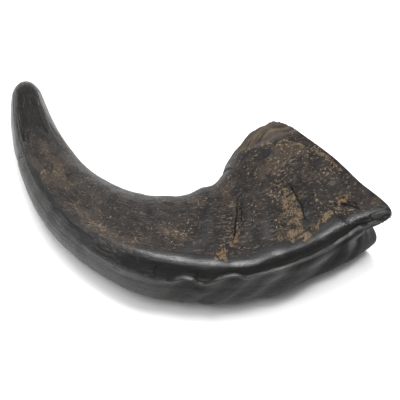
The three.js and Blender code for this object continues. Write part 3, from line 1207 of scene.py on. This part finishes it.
def keratin_colour(finish, parts):
    flake = finish.tint(parts["flake_light"], FLAKE_DARK, FLAKE_LIGHT)
    curls = finish.times(parts["thin_curl"], FLAKE_CURLS)
    named = {
        "flake": finish.tint(curls, flake, FLECK),
        "fibre": finish.tint(parts["fibre_light"], FIBRE_DARK, FIBRE_LIGHT),
        "cut": finish.tint(parts["cut_light"], CUT_DARK, CUT_LIGHT),
        "hollow": finish.tint(parts["hollow_light"], HOLLOW_DARK, HOLLOW_LIGHT),
    }
    colour = finish.tint(parts["grey"], BLACK_BROWN, GREY_BROWN)
    for share, cover in COVERS:
        colour = finish.tint(finish.blend(parts, [share]), colour, named.get(cover, cover))
    return colour


def keratin_roughness(finish, parts):
    rough = finish.blend(parts, ROUGHNESS)
    for share, terms in ROUGHNESS_THERE.items():
        rough = finish.between(parts[share], rough, finish.blend(parts, terms))
    return rough


def keratin_coat(finish, parts):
    coat = finish.blend(parts, COAT)
    for name, loss in COAT_LOSES.items():
        coat = finish.times(coat, finish.rest(parts[name], loss))
    return finish.times(coat, parts["gloss_grit"])


def keratin():
    finish = Finish("keratin")
    parts = keratin_parts(finish)
    bump = finish.nodes.new("ShaderNodeBump")
    bump.inputs["Strength"].default_value = 1
    bump.inputs["Distance"].default_value = MM
    finish.put(bump.inputs["Height"], finish.blend(parts, RELIEF))
    sockets = finish.shader.inputs
    finish.put(sockets["Base Color"], keratin_colour(finish, parts))
    finish.put(sockets["Roughness"], keratin_roughness(finish, parts))
    finish.put(sockets["Coat Weight"], keratin_coat(finish, parts))
    finish.put(sockets["Normal"], bump.outputs["Normal"])
    finish.put(sockets["Coat Normal"], bump.outputs["Normal"])
    finish.setting("IOR", KERATIN_IOR)
    finish.setting("Specular IOR Level", KERATIN_SPECULAR)
    finish.setting("Coat Roughness", COAT_ROUGHNESS)
    finish.setting("Coat IOR", COAT_IOR)
    return finish.material


# ---- Table, light and camera --------------------------------------------------------------

TABLE_RADIUS = 6
TABLE_WHITE = (0.96, 0.96, 0.96, 1)
TABLE_ROUGHNESS = 0.6
# Softboxes over the table: place, width in metres, and watts.
SOFTBOXES = (
    ((0.05, 0.2, 1), 0.55, 8),
    ((-0.55, -0.1, 1), 0.6, 5),
    ((0.16, -0.3, 0.95), 0.26, 4.5),
)
# The room's light is weak from the level of the table and strong from above: how high the
# direction is where it begins to grow and where it is full, and its strengths there.
CEILING_RISE = {"From Min": 0.4, "From Max": 0.95, "To Min": 0.06, "To Max": 0.9}
CAMERA_TARGET = Vector((0.01062, -0.03461, 0.02515))
CAMERA_AZIMUTH = math.radians(-44)
CAMERA_ELEVATION = math.radians(50)
CAMERA_DISTANCE = 0.7
CAMERA_LENS = 95.8


def make_camera():
    camera = bpy.data.objects.new("camera", bpy.data.cameras.new("camera"))
    across = math.cos(CAMERA_ELEVATION)
    away = Vector((
        math.sin(CAMERA_AZIMUTH) * across,
        -math.cos(CAMERA_AZIMUTH) * across,
        math.sin(CAMERA_ELEVATION),
    ))
    camera.location = CAMERA_TARGET + CAMERA_DISTANCE * away
    camera.rotation_euler = away.to_track_quat("Z", "Y").to_euler()
    camera.data.lens = CAMERA_LENS
    bpy.context.scene.collection.objects.link(camera)
    bpy.context.scene.camera = camera


def make_table():
    disc = bmesh.new()
    bmesh.ops.create_circle(disc, cap_ends=True, segments=64, radius=TABLE_RADIUS)
    mesh = bpy.data.meshes.new("table")
    disc.to_mesh(mesh)
    disc.free()
    table = bpy.data.objects.new("table", mesh)
    bpy.context.scene.collection.objects.link(table)
    finish = Finish("table_white")
    finish.setting("Base Color", TABLE_WHITE)
    finish.setting("Roughness", TABLE_ROUGHNESS)
    mesh.materials.append(finish.material)


def make_light():
    for place, width, watts in SOFTBOXES:
        softbox = bpy.data.lights.new("softbox", "AREA")
        softbox.shape = "SQUARE"
        softbox.size = width
        softbox.energy = watts
        lamp = bpy.data.objects.new("softbox", softbox)
        lamp.location = place
        lamp.rotation_euler = Vector(place).to_track_quat("Z", "Y").to_euler()
        bpy.context.scene.collection.objects.link(lamp)
    world = bpy.data.worlds.new("room")
    world.use_nodes = True
    background = world.node_tree.nodes["Background"]
    background.inputs["Color"].default_value = (1, 1, 1, 1)
    nodes = world.node_tree.nodes
    links = world.node_tree.links
    split = nodes.new("ShaderNodeSeparateXYZ")
    rise = nodes.new("ShaderNodeMapRange")
    rise.interpolation_type = "SMOOTHSTEP"
    for name, number in CEILING_RISE.items():
        rise.inputs[name].default_value = number
    links.new(nodes.new("ShaderNodeTexCoord").outputs["Generated"], split.inputs[0])
    links.new(split.outputs["Z"], rise.inputs["Value"])
    links.new(rise.outputs["Result"], background.inputs["Strength"])
    bpy.context.scene.world = world
    bpy.context.scene.view_settings.view_transform = "Standard"


make_camera()
make_table()
make_light()
horn = make_horn()
horn.data.materials.append(keratin())
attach(horn, "root")
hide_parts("horn")
